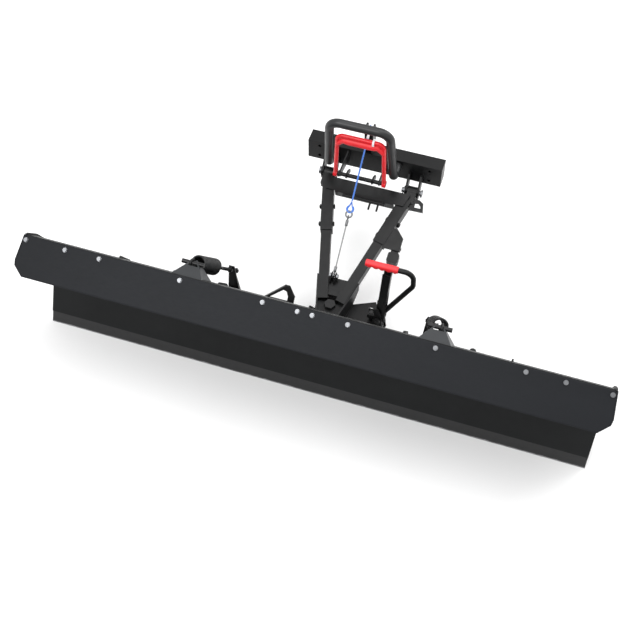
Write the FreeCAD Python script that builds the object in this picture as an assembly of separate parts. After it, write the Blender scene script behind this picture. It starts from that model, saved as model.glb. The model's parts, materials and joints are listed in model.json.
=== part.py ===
import FreeCAD, Part
import math
import os

from FreeCAD import Rotation, Vector

# Snow plow blade with its push frame and vehicle mount, in millimetres, +Z up.
# X runs along the blade, the blade's front faces -Y, and the vehicle is at +Y.
# Everything is drawn from the middle of the blade's cutting edge on the ground,
# then moved so that the origin is the centre of the mount's bolt pattern.

# Driving dimensions
BLADE_W = 2083.0          # cutting edge, end to end
MOUNT_Y = 900.0           # cutting edge to the mount's rear face
MOUNT_Z = 380.0           # ground to the mount's bolt pattern
LEAN = math.radians(27)   # lower moldboard leans back by this much
SHEET_T = 4.0             # moldboard sheet
BAR_T = 10.0              # wear bar
BAR_SHOWN = 48.0          # wear bar below the moldboard's lower edge
BAR_H = 108.0             # wear bar's whole height along the slope
FLAT_H = 160.0            # straight part of the moldboard along the slope
TOP_Y, TOP_Z = 8.0, 513.0          # moldboard's top bend
FLANGE_DIP = math.radians(32)      # flap flange below the horizontal
FLANGE_L = 46.0
FLAP_T = 6.0
FLAP_L = 146.0
FLAP_WIDE = 1052.0        # flap's half width at its widest
BOLT_X = (26, 150, 450, 750, 880, 1030)   # flap bolts, each side of the middle
BOLT_S = 16.0             # flap bolts from the flap's rear edge
PIVOT_Y, PIVOT_Z = 112.0, 92.0     # trip pivot
PIVOT_X = 380.0
RIB_T = 6.0
SHAFT_GAP = 0.05          # radial clearance of every pin that turns
KING_Y = 280.0            # kingpin
KING_R = 12.5
FRAME_TILT = math.radians(15.4)    # push frame rises to the vehicle
HITCH_X, HITCH_Y, HITCH_Z = 168.0, 804.0, 312.0   # hitch pins
HITCH_R = 10.0
TUBE = 38.0               # front side tube, square
SLEEVE = 46.0             # rear side tube, square
TUBE_WALL = 3.5
NOSE_Y = 302.0            # front end of the side tubes
NOSE_X = 34.0             # tube centre there
TUBE_SLOPE = math.atan((HITCH_X - NOSE_X) / (HITCH_Y - NOSE_Y))
SEAM_Y = 563.0            # rear tubes take over from the front ones
SIDE_BOLT_Y, SIDE_BOLT_R = (594, 663), 5.0
BEAM = 50.0               # swing frame's crossmember, square
BEAM_Y, BEAM_TOP = 260.0, 112.0
BEAM_HALF = 436.0
SECTOR_T = 8.0
SECTOR_R = 186.0
LOCK_X = 160.0            # lock pin from the kingpin
LOCK_R = 8.0
SWING_STOPS = (-28, -14, 0, 14, 28)   # degrees
MOUNT_HALF = 262.0        # mount crossbar
MOUNT_H, MOUNT_D, MOUNT_WALL = 90.0, 60.0, 6.0
MOUNT_HOLES_X, MOUNT_HOLES_Z = 440.0, 50.0
MOUNT_HOLE_R = 6.5
LIFT_X = -25.0            # winch line, hoop and release handle are this far off centre
HOOP_X, HOOP_R = -33.0, 17.0
HOOP_FOOT, HOOP_TOP = 128.0, 114.0    # hoop's half widths
RELEASE_Y, RELEASE_Z = 728.0, 402.0   # release handle's pivot
POST_X, POST_Y = 381.0, 270.0         # spring posts
SPRING_R, SPRING_WIRE = 32.0, 8.5
SKID_X, SKID_Y, SOCKET_TOP = 560.0, 162.0, 250.0
GRIP_R = 12.5

X, Y, Z = Vector(1, 0, 0), Vector(0, 1, 0), Vector(0, 0, 1)
parts = {}


def keep(name, *shapes):
    """Adds solids to a node."""
    parts.setdefault(name, []).extend(shapes)


# ---------- small shapes ----------

def block(x0, x1, y0, y1, z0, z1):
    return Part.makeBox(x1 - x0, y1 - y0, z1 - z0, Vector(x0, y0, z0))


def rod(a, b, r):
    """Round bar from a to b."""
    a, b = Vector(*a), Vector(*b)
    return Part.makeCylinder(r, (b - a).Length, a, b - a)


def hexagon(centre, axis, flats, height):
    """Hexagonal head or nut standing on centre along axis."""
    r = flats / math.sqrt(3)
    angles = [math.radians(60 * k) for k in range(7)]
    pts = [Vector(r * math.cos(a), r * math.sin(a), 0) for a in angles]
    nut = Part.Face(Part.makePolygon(pts)).extrude(Vector(0, 0, height))
    nut.Placement = FreeCAD.Placement(Vector(*centre), Rotation(Z, Vector(*axis)))
    return nut


def bolt(a, b, r, head=1.7, nut=True):
    """Hex bolt from a, under its head, to b, under its nut, as one solid."""
    a, b = Vector(*a), Vector(*b)
    axis = (b - a).normalize()
    shape = rod(a, b + axis * (r * (1.8 if nut else 0)), r)
    shape = shape.fuse(hexagon(a - axis * r * 1.2, axis, r * 2 * head, r * 1.2))
    if nut:
        shape = shape.fuse(hexagon(b, axis, r * 2 * head, r * 1.5))
    return shape


def prism(pts, direction):
    """Flat outline swept along a direction."""
    pts = [Vector(*p) for p in pts]
    return Part.Face(Part.makePolygon(pts + pts[:1])).extrude(Vector(*direction))


def side_plate(yz, x, t):
    """Plate across X with an outline in Y and Z, centred on x."""
    return prism([(x - t / 2, y, z) for y, z in yz], (t, 0, 0))


def mirror(shape):
    return shape.mirror(Vector(0, 0, 0), X)


def both(left, right, shape):
    """Keeps a right-hand shape and its mirror image as two nodes."""
    keep(right, shape)
    keep(left, mirror(shape))


def tube_path(pts, radii):
    """Wire of straight runs joined by tangent arcs of the given radii."""
    pts = [Vector(*p) for p in pts]
    edges, start = [], pts[0]
    for p, c, n, r in zip(pts, pts[1:], pts[2:], radii):
        u, v = (p - c).normalize(), (n - c).normalize()
        half = u.getAngle(v) / 2
        cut = r / math.tan(half)
        mid = c + (u + v).normalize() * (r / math.sin(half) - r)
        a, b = c + u * cut, c + v * cut
        edges += [Part.LineSegment(start, a).toShape(), Part.Arc(a, mid, b).toShape()]
        start = b
    edges.append(Part.LineSegment(start, pts[-1]).toShape())
    return Part.Wire(edges)


def round_tube(pts, radii, r, inner=0):
    """Bent round tube, or bar where inner is 0."""
    wire = tube_path(pts, radii)
    first = Vector(*pts[1]) - Vector(*pts[0])

    def pipe(radius):
        ring = Part.Wire(Part.makeCircle(radius, Vector(*pts[0]), first))
        return wire.makePipeShell([ring], True, False)
    shape = pipe(r)
    return shape.cut(pipe(inner)) if inner else shape


def square_tube(a, b, width, wall, roll_to=Z):
    """Square hollow tube between two points, one side facing roll_to."""
    a, b = Vector(*a), Vector(*b)
    axis = (b - a).normalize()
    side = axis.cross(roll_to).normalize()
    up = side.cross(axis)

    def bar(half):
        pts = [a + side * (sx * half) + up * (sz * half) for sx, sz in ((-1, -1), (1, -1), (1, 1), (-1, 1))]
        return Part.Face(Part.makePolygon(pts + pts[:1])).extrude(b - a)
    return bar(width / 2).cut(bar(width / 2 - wall))


def slope_point(s, n=0.0):
    """Point (y, z) a distance s up the lower moldboard and n behind its front."""
    return (s * math.sin(LEAN) + n * math.cos(LEAN), s * math.cos(LEAN) - n * math.sin(LEAN))


# ---------- moldboard ----------

def curl(offset):
    """Moldboard's curve at an offset behind its front face: end, middle, top point."""
    y1, z1 = slope_point(FLAT_H)
    chord = Vector(0, TOP_Y - y1, TOP_Z - z1)
    half = LEAN + math.atan2(-chord.y, chord.z)
    radius = chord.Length / (2 * math.sin(half))
    centre = Vector(0, y1 - radius * math.cos(LEAN), z1 + radius * math.sin(LEAN))
    r = radius + offset
    out = []
    for k in (0, 1, 2):
        a = -LEAN + k * half
        out.append(Vector(0, centre.y + r * math.cos(a), centre.z + r * math.sin(a)))
    return out


def flange_point(s, n=0.0):
    """Point (y, z) along the flap flange from the moldboard's top, n above it."""
    c, d = math.cos(FLANGE_DIP), math.sin(FLANGE_DIP)
    return (TOP_Y - s * c - n * d, TOP_Z - s * d + n * c)


def at_x(x, yz):
    return Vector(x, yz[0], yz[1])


def shifted(x, v):
    return Vector(x, v.y, v.z)


def moldboard_face(x, front, back):
    """Section of the curved sheet between two offsets behind its front face."""
    lo = [at_x(x, slope_point(BAR_SHOWN, front)), at_x(x, slope_point(BAR_SHOWN, back))]
    f, b = [shifted(x, v) for v in curl(front)], [shifted(x, v) for v in curl(back)]
    edges = [Part.LineSegment(lo[0], f[0]).toShape(), Part.Arc(*f).toShape(),
             Part.LineSegment(f[2], b[2]).toShape(), Part.Arc(*reversed(b)).toShape(),
             Part.LineSegment(b[0], lo[1]).toShape(), Part.LineSegment(lo[1], lo[0]).toShape()]
    return Part.Face(Part.Wire(edges))


HALF_W = BLADE_W / 2


def moldboard_sheet():
    sheet = moldboard_face(-HALF_W, -SHEET_T, 0).extrude(X * BLADE_W)
    a, b = flange_point(-3, -SHEET_T), flange_point(FLANGE_L, -SHEET_T)
    c, d = flange_point(FLANGE_L), flange_point(-3)
    flange = prism([at_x(-HALF_W, p) for p in (a, b, c, d)], (BLADE_W, 0, 0))
    sheet = sheet.fuse(flange).removeSplitter()
    for p in flap_bolt_places():
        sheet = sheet.cut(flap_hole(p, 4.3))
    for x in BAR_BOLT_X:
        sheet = sheet.cut(bar_bolt_head(x))
    return sheet


def flap_bolt_places():
    return [(s * x) for x in BOLT_X for s in (-1, 1)]


def flap_hole(x, r):
    y0, z0 = flange_point(BOLT_S, -20)
    y1, z1 = flange_point(BOLT_S, 20)
    return rod((x, y0, z0), (x, y1, z1), r)


BAR_BOLT_X = [s * x for x in (110, 330, 550, 770, 985) for s in (-1, 1)]
BAR_BOLT_S = BAR_SHOWN + 28.0


def bar_bolt_hole(x):
    y0, z0 = slope_point(BAR_BOLT_S, -20)
    y1, z1 = slope_point(BAR_BOLT_S, 30)
    return rod((x, y0, z0), (x, y1, z1), 5.3)


def bar_bolt_head(x):
    """Countersunk head that fills the sheet's thickness."""
    front, back = slope_point(BAR_BOLT_S, -SHEET_T), slope_point(BAR_BOLT_S)
    return Part.makeCone(9.5, 5.3, SHEET_T, at_x(x, front), at_x(0, back) - at_x(0, front))


def wear_bar():
    pts = [slope_point(0), slope_point(BAR_T * math.tan(LEAN), BAR_T), slope_point(BAR_H, BAR_T),
           slope_point(BAR_H)]
    bar = prism([at_x(-HALF_W, p) for p in pts], (BLADE_W, 0, 0))
    for x in BAR_BOLT_X:
        bar = bar.cut(bar_bolt_hole(x))
    return bar


def wear_bar_bolts():
    for x in BAR_BOLT_X:
        a, b = slope_point(BAR_BOLT_S, -SHEET_T), slope_point(BAR_BOLT_S, BAR_T)
        tip = slope_point(BAR_BOLT_S, BAR_T + 14)
        axis = at_x(0, tip) - at_x(0, a)
        keep("wear_bar_bolts", rod(at_x(x, a), at_x(x, tip), 5.0).fuse(bar_bolt_head(x)))
        nut = hexagon(at_x(x, b), axis, 17, 8).cut(rod(at_x(x, a), at_x(x, tip), 5.0))
        keep("blade_nuts", nut)


def flap_outline():
    """Half outline (x, s) of the rubber flap, s down from its rear edge."""
    return [(1044, 0), (FLAP_WIDE, 92), (1048, 112), (1012, FLAP_L)]


def rubber_flap():
    half = flap_outline()
    outline = half + [(-x, s) for x, s in reversed(half)]
    pts = [at_x(x, flange_point(s)) for x, s in outline]
    up = at_x(0, flange_point(0, FLAP_T)) - at_x(0, flange_point(0))
    flap = prism(pts, up)
    for x in flap_bolt_places():
        flap = flap.cut(flap_hole(x, 4.3))
    return flap


def flap_bolts():
    up = at_x(0, flange_point(0, 1)) - at_x(0, flange_point(0))
    for x in flap_bolt_places():
        top, under = at_x(x, flange_point(BOLT_S, FLAP_T)), at_x(x, flange_point(BOLT_S, -SHEET_T))
        washer = Part.makeCylinder(8.5, 1.5, top, up)
        head = hexagon(top + up * 1.5, up, 13, 5.3)
        shank = rod(under - up * 9, top + up * 2, 4.0)
        keep("flap_bolts", shank.fuse(washer).fuse(head))
        keep("blade_nuts", hexagon(under, up * -1, 13, 6.5).cut(rod(under - up * 9, top, 4.0)))


STIFF_Z, STIFF = 262.0, 32.0
STIFF_Y = 113.0


def behind_sheet(shape, x):
    """What of a shape near x lies behind the moldboard."""
    return shape.cut(moldboard_face(x - 200, -60, 0).extrude(X * 400))


def rib_section(x, outline, thickness):
    """Plate behind the sheet; its outline is given from the sheet's top down to the wear bar."""
    front = [slope_point(BAR_H + 4), slope_point(FLAT_H, -20), (80, 285)]
    return behind_sheet(side_plate(front + outline, x, thickness), x)


def stiffener():
    tube = block(-HALF_W + 12, HALF_W - 12, STIFF_Y, STIFF_Y + STIFF, STIFF_Z, STIFF_Z + STIFF)
    y0, y1, z0, z1 = STIFF_Y + 3, STIFF_Y + STIFF - 3, STIFF_Z + 3, STIFF_Z + STIFF - 3
    return tube.cut(block(-HALF_W, HALF_W, y0, y1, z0, z1))


def notch():
    """Room for the stiffener in a rib, open to the rear."""
    return block(-HALF_W, HALF_W, STIFF_Y, STIFF_Y + 60, STIFF_Z, STIFF_Z + STIFF)


def end_rib(x):
    """End plate whose top corner stands up behind the flap."""
    outline = [(35, 440), flange_point(-0.5, -6), flange_point(-0.5, 12), (24, 508), (66, 455), (100, 390),
               (120, 300), (118, 120), (74, 92)]
    corner = [flange_point(-3.5, -5), flange_point(12, -5), flange_point(12, 0.5), flange_point(-3.5, 0.5)]
    rib = rib_section(x, outline, RIB_T).cut(prism([at_x(x - RIB_T, p) for p in corner], (2 * RIB_T, 0, 0)))
    return rib.cut(notch())


def middle_rib(x):
    outline = [(35, 440), (36, 478), (50, 478), (98, 400), (120, 300), (120, 120), (80, 88)]
    return rib_section(x, outline, RIB_T).cut(notch())


PIVOT_RIB_X = (PIVOT_X - 49, PIVOT_X + 49)


def pivot_rib(x):
    """Plate that holds the trip pin; the outer one stops below the spring."""
    outer = x > PIVOT_X
    top = [(85, 356), (112, 350)] if outer else [(35, 440), (40, 474), (56, 466), (104, 400)]
    outline = top + [(124, 330), (140, 240), (140, PIVOT_Z), (128, PIVOT_Z - 22), (92, PIVOT_Z - 22)]
    rib = rib_section(x, outline, RIB_T + 2).cut(notch())
    return rib.cut(rod((x - 20, PIVOT_Y, PIVOT_Z), (x + 20, PIVOT_Y, PIVOT_Z), 10.0))


def trip_pin():
    a, b = PIVOT_RIB_X[0] - 16, PIVOT_RIB_X[1] + 16
    pin = rod((a, PIVOT_Y, PIVOT_Z), (b, PIVOT_Y, PIVOT_Z), 10.0)
    return pin.fuse(rod((a - 6, PIVOT_Y, PIVOT_Z), (a, PIVOT_Y, PIVOT_Z), 15.0))


SPRING_BOLT = Vector(447, 93, 485)
SPRING_END = Vector(POST_X - 3, 272, 252)


def gusset():
    """Bent-plate bracket behind the moldboard's top: a top panel and two splayed flanges."""
    t, y0, y1, y2 = 5.0, 12.0, 76.0, 102.0
    z0, z1 = 500.0, 491.0
    front, rear, skirt = (378.0, 501.0), (413.0, 466.0), 4.0
    shape = prism([(front[0], y0, z0), (front[1], y0, z0), (rear[1], y1, z1), (rear[0], y1, z1)], (0, 0, -t))
    for k, out in ((0, -1), (1, 1)):
        a, b = Vector(front[k], y0, z0), Vector(rear[k], y1, z1)
        low = Vector(front[k] + out * skirt, 82, 412)
        normal = (b - a).cross(low - a).normalize()
        normal = normal if normal.x * out < 0 else -normal

        def on_flange(y, z):
            """Point of the flange's outer plane at a given y and z."""
            return Vector(a.x - (normal.y * (y - a.y) + normal.z * (z - a.z)) / normal.x, y, z)
        pts = [a, b, on_flange(y2, 495), on_flange(y2, 468), low]
        shape = shape.fuse(prism(pts, normal * t))
    x, y, z = SPRING_BOLT
    shape = behind_sheet(shape, x)
    return shape.cut(rod((x - 80, y, z), (x + 80, y, z), 8.0))


def spring_bolt():
    x, y, z = SPRING_BOLT
    return rod((x - 45, y, z), (x + 37, y, z), 8.0)


def skid_socket():
    """Square socket on the moldboard's rear that carries the skid post."""
    tube = square_tube((SKID_X, SKID_Y, 150), (SKID_X, SKID_Y, SOCKET_TOP), 32, 4, Y)
    arm = block(SKID_X - 16, SKID_X + 16, 80, SKID_Y - 16, 170, 230)
    return behind_sheet(tube.fuse(arm), SKID_X)


def skid_shoe():
    """Dished shoe on a drilled post, with the pin it hangs from above the socket."""
    y = SKID_Y
    dish = Part.makeCylinder(48, 6, Vector(SKID_X, y, 3), Z)
    cone = Part.makeCone(48, 20, 16, Vector(SKID_X, y, 9), Z)
    post = rod((SKID_X, y, 24), (SKID_X, y, 300), 11.6)
    shoe = dish.fuse(cone).fuse(post)
    for z in (94, 134, 174, 214, SOCKET_TOP + 4):
        shoe = shoe.cut(rod((SKID_X - 20, y, z), (SKID_X + 20, y, z), 3.2))
    pin = rod((SKID_X - 26, y, SOCKET_TOP + 4), (SKID_X + 26, y, SOCKET_TOP + 4), 3.2)
    return shoe.fuse(pin)


# ---------- swing frame ----------

def crossmember():
    y0, y1, z0 = BEAM_Y - BEAM / 2, BEAM_Y + BEAM / 2, BEAM_TOP - BEAM
    tube = block(-BEAM_HALF, BEAM_HALF, y0, y1, z0, BEAM_TOP)
    tube = tube.cut(block(-BEAM_HALF, BEAM_HALF, y0 + 4, y1 - 4, z0 + 4, BEAM_TOP - 4))
    bush = Part.makeCylinder(KING_R + 7, BEAM, Vector(0, KING_Y, z0), Z)
    tube = tube.fuse(bush)
    return tube.cut(Part.makeCylinder(KING_R + SHAFT_GAP, 400, Vector(0, KING_Y, -100), Z))


def trip_arm():
    """Arm from the crossmember to the trip pivot."""
    z0 = BEAM_TOP - BEAM
    yz = [(BEAM_Y - BEAM / 2, z0 + 2), (BEAM_Y - BEAM / 2, BEAM_TOP - 2), (PIVOT_Y, PIVOT_Z + 20),
          (PIVOT_Y, PIVOT_Z - 20)]
    arm = side_plate(yz, PIVOT_X, 30)
    eye = rod((PIVOT_X - 15, PIVOT_Y, PIVOT_Z), (PIVOT_X + 15, PIVOT_Y, PIVOT_Z), 20)
    arm = arm.fuse(eye)
    return arm.cut(rod((PIVOT_X - 40, PIVOT_Y, PIVOT_Z), (PIVOT_X + 40, PIVOT_Y, PIVOT_Z), 10 + SHAFT_GAP))


def spring_post():
    """Tapered folded post that holds the spring's eyebolt."""
    t = 5.0
    base, tip, z1 = 24.0, 11.0, 274.0
    front = [(-base, BEAM_TOP), (base, BEAM_TOP), (tip, z1), (-tip, z1)]
    y = POST_Y
    shape = prism([(POST_X + x, y, z) for x, z in front], (0, t, 0))
    for s in (-1, 1):
        a = (POST_X + s * base, y, BEAM_TOP)
        b = (POST_X + s * tip, y, z1)
        z_cut = z1 - 54
        x_cut = base - (base - tip) * (z_cut - BEAM_TOP) / (z1 - BEAM_TOP)
        c = (POST_X + s * x_cut, y + t, z_cut)
        d = (POST_X + s * base, y + 15, BEAM_TOP)
        shape = shape.fuse(prism([a, b, c, d], (-s * t, 0, 0)))
    axis = (SPRING_END - SPRING_BOLT).normalize()
    return shape.cut(rod(SPRING_END - axis * 90, SPRING_END + axis * 60, 6.5))


def eyebolt():
    """Threaded rod from the spring's lower hook through the post, with its eye."""
    axis = (SPRING_END - SPRING_BOLT).normalize()
    shank = rod(SPRING_END - axis * 97, SPRING_END + axis * 36, 6.0)
    ring = Part.makeTorus(11, 4.5, SPRING_END - axis * 108, X)
    return shank.fuse(ring)


def eyebolt_nuts():
    axis = (SPRING_END - SPRING_BOLT).normalize()
    hole = rod(SPRING_END - axis * 60, SPRING_END + axis * 60, 6.0)
    return [hexagon(SPRING_END + axis * d, axis, 19, 8).cut(hole) for d in (-26, 21)]


def trip_spring():
    """Close-wound extension spring as its outer tube, with a hook at each end."""
    axis = (SPRING_END - SPRING_BOLT).normalize()
    a, b = SPRING_BOLT + axis * 35, SPRING_BOLT + axis * 164
    coil = rod(a, b, SPRING_R).cut(rod(a, b, SPRING_R - SPRING_WIRE))
    out = coil
    for p, q in ((a, SPRING_BOLT + axis * 12.5), (b, SPRING_END - axis * 126)):
        d = 1 if p == a else -1
        hook = rod(p + axis * (d * 4), q, 4.0)
        bridge = block(-SPRING_R + 3, SPRING_R - 3, -4, 4, -4, 4)
        bridge.Placement = FreeCAD.Placement(p + axis * (d * 4), Rotation(Z, axis))
        out = out.fuse(bridge).fuse(hook)
    return out


def loop_bracket():
    """Flat-bar loop that stands on the crossmember."""
    y, z = BEAM_Y + 8, BEAM_TOP
    outer = [(-279, z), (-171, z + 131), (-153, z + 131), (-135, z + 70), (-145, z)]
    inner = [(-243, z + 30), (-177, z + 105), (-165, z + 99), (-161, z + 68), (-167, z + 30)]
    ring = prism([(x, y, h) for x, h in outer], (0, 8, 0))
    return ring.cut(prism([(x, y - 5, h) for x, h in inner], (0, 20, 0)))


# ---------- angle lock lever ----------

LEVER_X, LEVER_Z = 190.0, 196.0
CROSS_R = 4.0             # cross pin that the lever lifts the lock pin by


def lever_post():
    """Folded post on the crossmember that carries the angle lever."""
    z0, z1 = BEAM_TOP, 258.0
    shape = None
    for y in (KING_Y - 22, KING_Y + 17):
        outline = [(-2, z0), (26, z0), (12, z1 - 24), (0, z1), (-14, z1), (-16, z0 + 60), (-2, z0 + 30)]
        plate = prism([(LEVER_X + x, y, z) for x, z in outline], (0, 5, 0))
        shape = plate if shape is None else shape.fuse(plate)
    web = block(LEVER_X + 14, LEVER_X + 19, KING_Y - 22, KING_Y + 22, z0, z0 + 34)
    web = web.fuse(block(LEVER_X - 2, LEVER_X + 26, KING_Y - 40, KING_Y + 22, z0, z0 + 6))
    guide = block(LOCK_X - 13, LEVER_X + 4, KING_Y - 17, KING_Y + 17, z0 + 28, z0 + 46)
    guide = guide.cut(Part.makeCylinder(LOCK_R + SHAFT_GAP, 100, Vector(LOCK_X, KING_Y, z0), Z))
    shape = shape.fuse(web).fuse(guide)
    return shape.cut(rod((LEVER_X, KING_Y - 60, LEVER_Z), (LEVER_X, KING_Y + 60, LEVER_Z), 6.0))


GRIP_A, GRIP_B = Vector(128, KING_Y, 488), Vector(246, KING_Y, 488)
GRIP_AXIS = (GRIP_B - GRIP_A).normalize()
BAR_R = 9.5               # lever's bar


def angle_lever():
    """D-shaped bar: from inside the grip, round the outside and back to the pivot."""
    pts = [GRIP_A + GRIP_AXIS * 14, GRIP_B + GRIP_AXIS * 54, (304, KING_Y, 420),
           (LEVER_X + 5, KING_Y, LEVER_Z + 5)]
    return round_tube(pts, (34, 42), BAR_R, BAR_R - 2)


def lever_arm():
    """Channel from under the grip down to the pivot, with the arm that lifts the lock pin."""
    y, t = KING_Y, 4.0
    shape = None
    for y0 in (y - 15, y + 11):
        outline = [(-12, LEVER_Z - 14), (24, LEVER_Z - 12), (28, 344), (34, 458), (4, 462), (-2, 340)]
        plate = prism([(LEVER_X + x, y0, z) for x, z in outline], (0, t, 0))
        shape = plate if shape is None else shape.fuse(plate)
    back = prism([(LEVER_X + 28, y - 15, 344), (LEVER_X + 34, y - 15, 458), (LEVER_X + 30, y - 15, 458),
                  (LEVER_X + 24, y - 15, 344)], (0, 30, 0))
    shape = shape.fuse(back).fuse(rod((LEVER_X, y - 15, LEVER_Z), (LEVER_X, y + 15, LEVER_Z), 13))
    for y0 in (y - 15, y + 11):
        finger = block(LOCK_X - 12, LEVER_X - 8, y0, y0 + t, LEVER_Z - 10, LEVER_Z + 10)
        slot = rod((LOCK_X, y0 - 5, LEVER_Z), (LOCK_X, y0 + 9, LEVER_Z), CROSS_R + 1.7)
        shape = shape.fuse(finger.cut(slot))
    return shape.cut(rod((LEVER_X, y - 60, LEVER_Z), (LEVER_X, y + 60, LEVER_Z), 6.0 + SHAFT_GAP))


def lock_pin():
    """Plunger over the sector plate, drawn lifted clear of it, with its cross pin."""
    pin = rod((LOCK_X, KING_Y, BEAM_TOP + SECTOR_T + 2), (LOCK_X, KING_Y, LEVER_Z + 9), LOCK_R)
    return pin.fuse(rod((LOCK_X, KING_Y - 17, LEVER_Z), (LOCK_X, KING_Y + 17, LEVER_Z), CROSS_R))


def lever_grip():
    """Hand grip along the lever's top, with finger grooves below."""
    grip = rod(GRIP_A, GRIP_B, GRIP_R)
    for k in range(4):
        knuckle = GRIP_A + GRIP_AXIS * (18 + 26 * k) - Z * 8
        grip = grip.fuse(Part.makeSphere(GRIP_R * 0.62, knuckle))
    return grip.cut(rod(GRIP_A + GRIP_AXIS * 14, GRIP_B + GRIP_AXIS, BAR_R))


# ---------- push frame ----------

def tilt(shape):
    """Turns a shape drawn level at the hitch pins to the push frame's slope."""
    shape = shape.copy()
    shape.rotate(Vector(0, 0, 0), X, math.degrees(FRAME_TILT))
    shape.translate(Vector(0, HITCH_Y, HITCH_Z))
    return shape


def run(y):
    """Distance along the sloping frame from the hitch pins to a depth y."""
    return (HITCH_Y - y) / math.cos(FRAME_TILT)


def tube_x(y):
    return NOSE_X + (y - NOSE_Y) * math.tan(TUBE_SLOPE)


def frame_point(y, dx=0.0, dz=0.0):
    """Point of a side tube's centre line in the frame's own level drawing."""
    return Vector(tube_x(y) + dx, -run(y), dz)


ACROSS = (frame_point(NOSE_Y) - frame_point(HITCH_Y)).cross(Z).normalize()


def bolt_shanks():
    """Shanks of the cross bolts on the right, to bore the tubes with."""
    return [rod(frame_point(y) + ACROSS * 40, frame_point(y) - ACROSS * 40, SIDE_BOLT_R) for y in SIDE_BOLT_Y]


def front_tube():
    tube = square_tube(frame_point(NOSE_Y), frame_point(SEAM_Y + 130), TUBE, TUBE_WALL)
    return tilt(tube.cut(Part.makeCompound(bolt_shanks())))


def tube_end():
    boss = rod((HITCH_X - 18, 0, 0), (HITCH_X + 18, 0, 0), 21)
    return boss.fuse(block(HITCH_X - 18, HITCH_X + 18, -60, 0, -17, 17))


def rear_tube():
    """Rear tube with the bored boss for the hitch pin welded into its end."""
    tube = square_tube(frame_point(SEAM_Y), frame_point(HITCH_Y - 46), SLEEVE, (SLEEVE - TUBE) / 2)
    tube = tube.cut(Part.makeCompound(bolt_shanks()))
    bore = rod((HITCH_X - 40, 0, 0), (HITCH_X + 40, 0, 0), HITCH_R + SHAFT_GAP)
    return tilt(tube.fuse(tube_end()).cut(bore))


def solid_tubes():
    """Both side tubes as solid bars, to trim the plates that meet them."""
    front = square_tube(frame_point(NOSE_Y), frame_point(SEAM_Y), TUBE, TUBE / 2 - 0.01)
    rear = square_tube(frame_point(SEAM_Y), frame_point(HITCH_Y - 46), SLEEVE, SLEEVE / 2 - 0.01)
    right = tilt(front.fuse(rear).fuse(tube_end()))
    return right.fuse(mirror(right))


def rear_cross_plate():
    top = SLEEVE / 2
    pts = [(-tube_x(724) - 8, -run(724)), (tube_x(724) + 8, -run(724)), (tube_x(776) + 8, -run(776)),
           (-tube_x(776) - 8, -run(776))]
    plate = prism([(x, y, top) for x, y in pts], (0, 0, 5))
    half = tube_x(724) - SLEEVE / 2 - 6
    lip = block(-half, half, -run(724) - 5, -run(724), top - 30, top + 5)
    return tilt(plate.fuse(lip))


def stow_rod():
    """Round bar along the cross plate's front with two short pegs."""
    y, z = -run(724) - 11.2, 26
    bar = rod((-84, y, z), (84, y, z), 6)
    for x in (28, 60):
        bar = bar.fuse(rod((x, y, z), (x, y - 34, z - 4), 4))
    for x in (-70, 70):
        bar = bar.fuse(block(x - 4, x + 4, y, y + 6.2, z - 8, z + 6))
    return tilt(bar)


def tie_loop():
    """Flat tie-down loop on the outside of the right rear tube."""
    x0 = tube_x(752) + SLEEVE / 2 + 9
    outer = [(-12, 762), (-2, 770), (20, 771), (38, 760), (46, 726), (-12, 724)]
    inner = [(8, 757), (20, 758), (28, 751), (33, 738), (8, 737)]
    ring = prism([(x0 + dx, -run(y), 4) for dx, y in outer], (0, 0, 9))
    ring = ring.cut(prism([(x0 + dx, -run(y), 0) for dx, y in inner], (0, 0, 20)))
    return tilt(ring).cut(solid_tubes())


def side_bolts():
    """Cross bolts that hold each front tube inside its rear tube."""
    for y in SIDE_BOLT_Y:
        c = frame_point(y)
        shape = tilt(bolt(c + ACROSS * (SLEEVE / 2), c - ACROSS * (SLEEVE / 2), SIDE_BOLT_R))
        keep("side_bolts", shape, mirror(shape))


def nose_box():
    """Level box of plates at the frame's nose, with side plates up to the side tubes."""
    y0, y1, z0, z1 = 240.0, 366.0, 122.0, 176.0
    base = prism([(-56, y0, z0), (56, y0, z0), (70, y1, z0), (-70, y1, z0)], (0, 0, 8))
    lid = block(-50, 50, y0, NOSE_Y - 8, z1 - 8, z1)
    front = block(-50, 50, y0, y0 + 8, z0, z1)
    shape = base.fuse(lid).fuse(front)
    yz = [(240, 122), (240, 182), (296, 190), (388, 214), (388, 176), (340, 122)]
    side = prism([(0, y, z) for y, z in yz], (6, 0, 0))
    side.rotate(Vector(0, NOSE_Y, 0), Z, -math.degrees(TUBE_SLOPE))
    side.translate(Vector(NOSE_X + TUBE / 2 / math.cos(TUBE_SLOPE) + 1, 0, 0))
    shape = shape.fuse(side).fuse(mirror(side)).cut(solid_tubes())
    return shape.cut(Part.makeCylinder(KING_R, 200, Vector(0, KING_Y, 90), Z))


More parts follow.
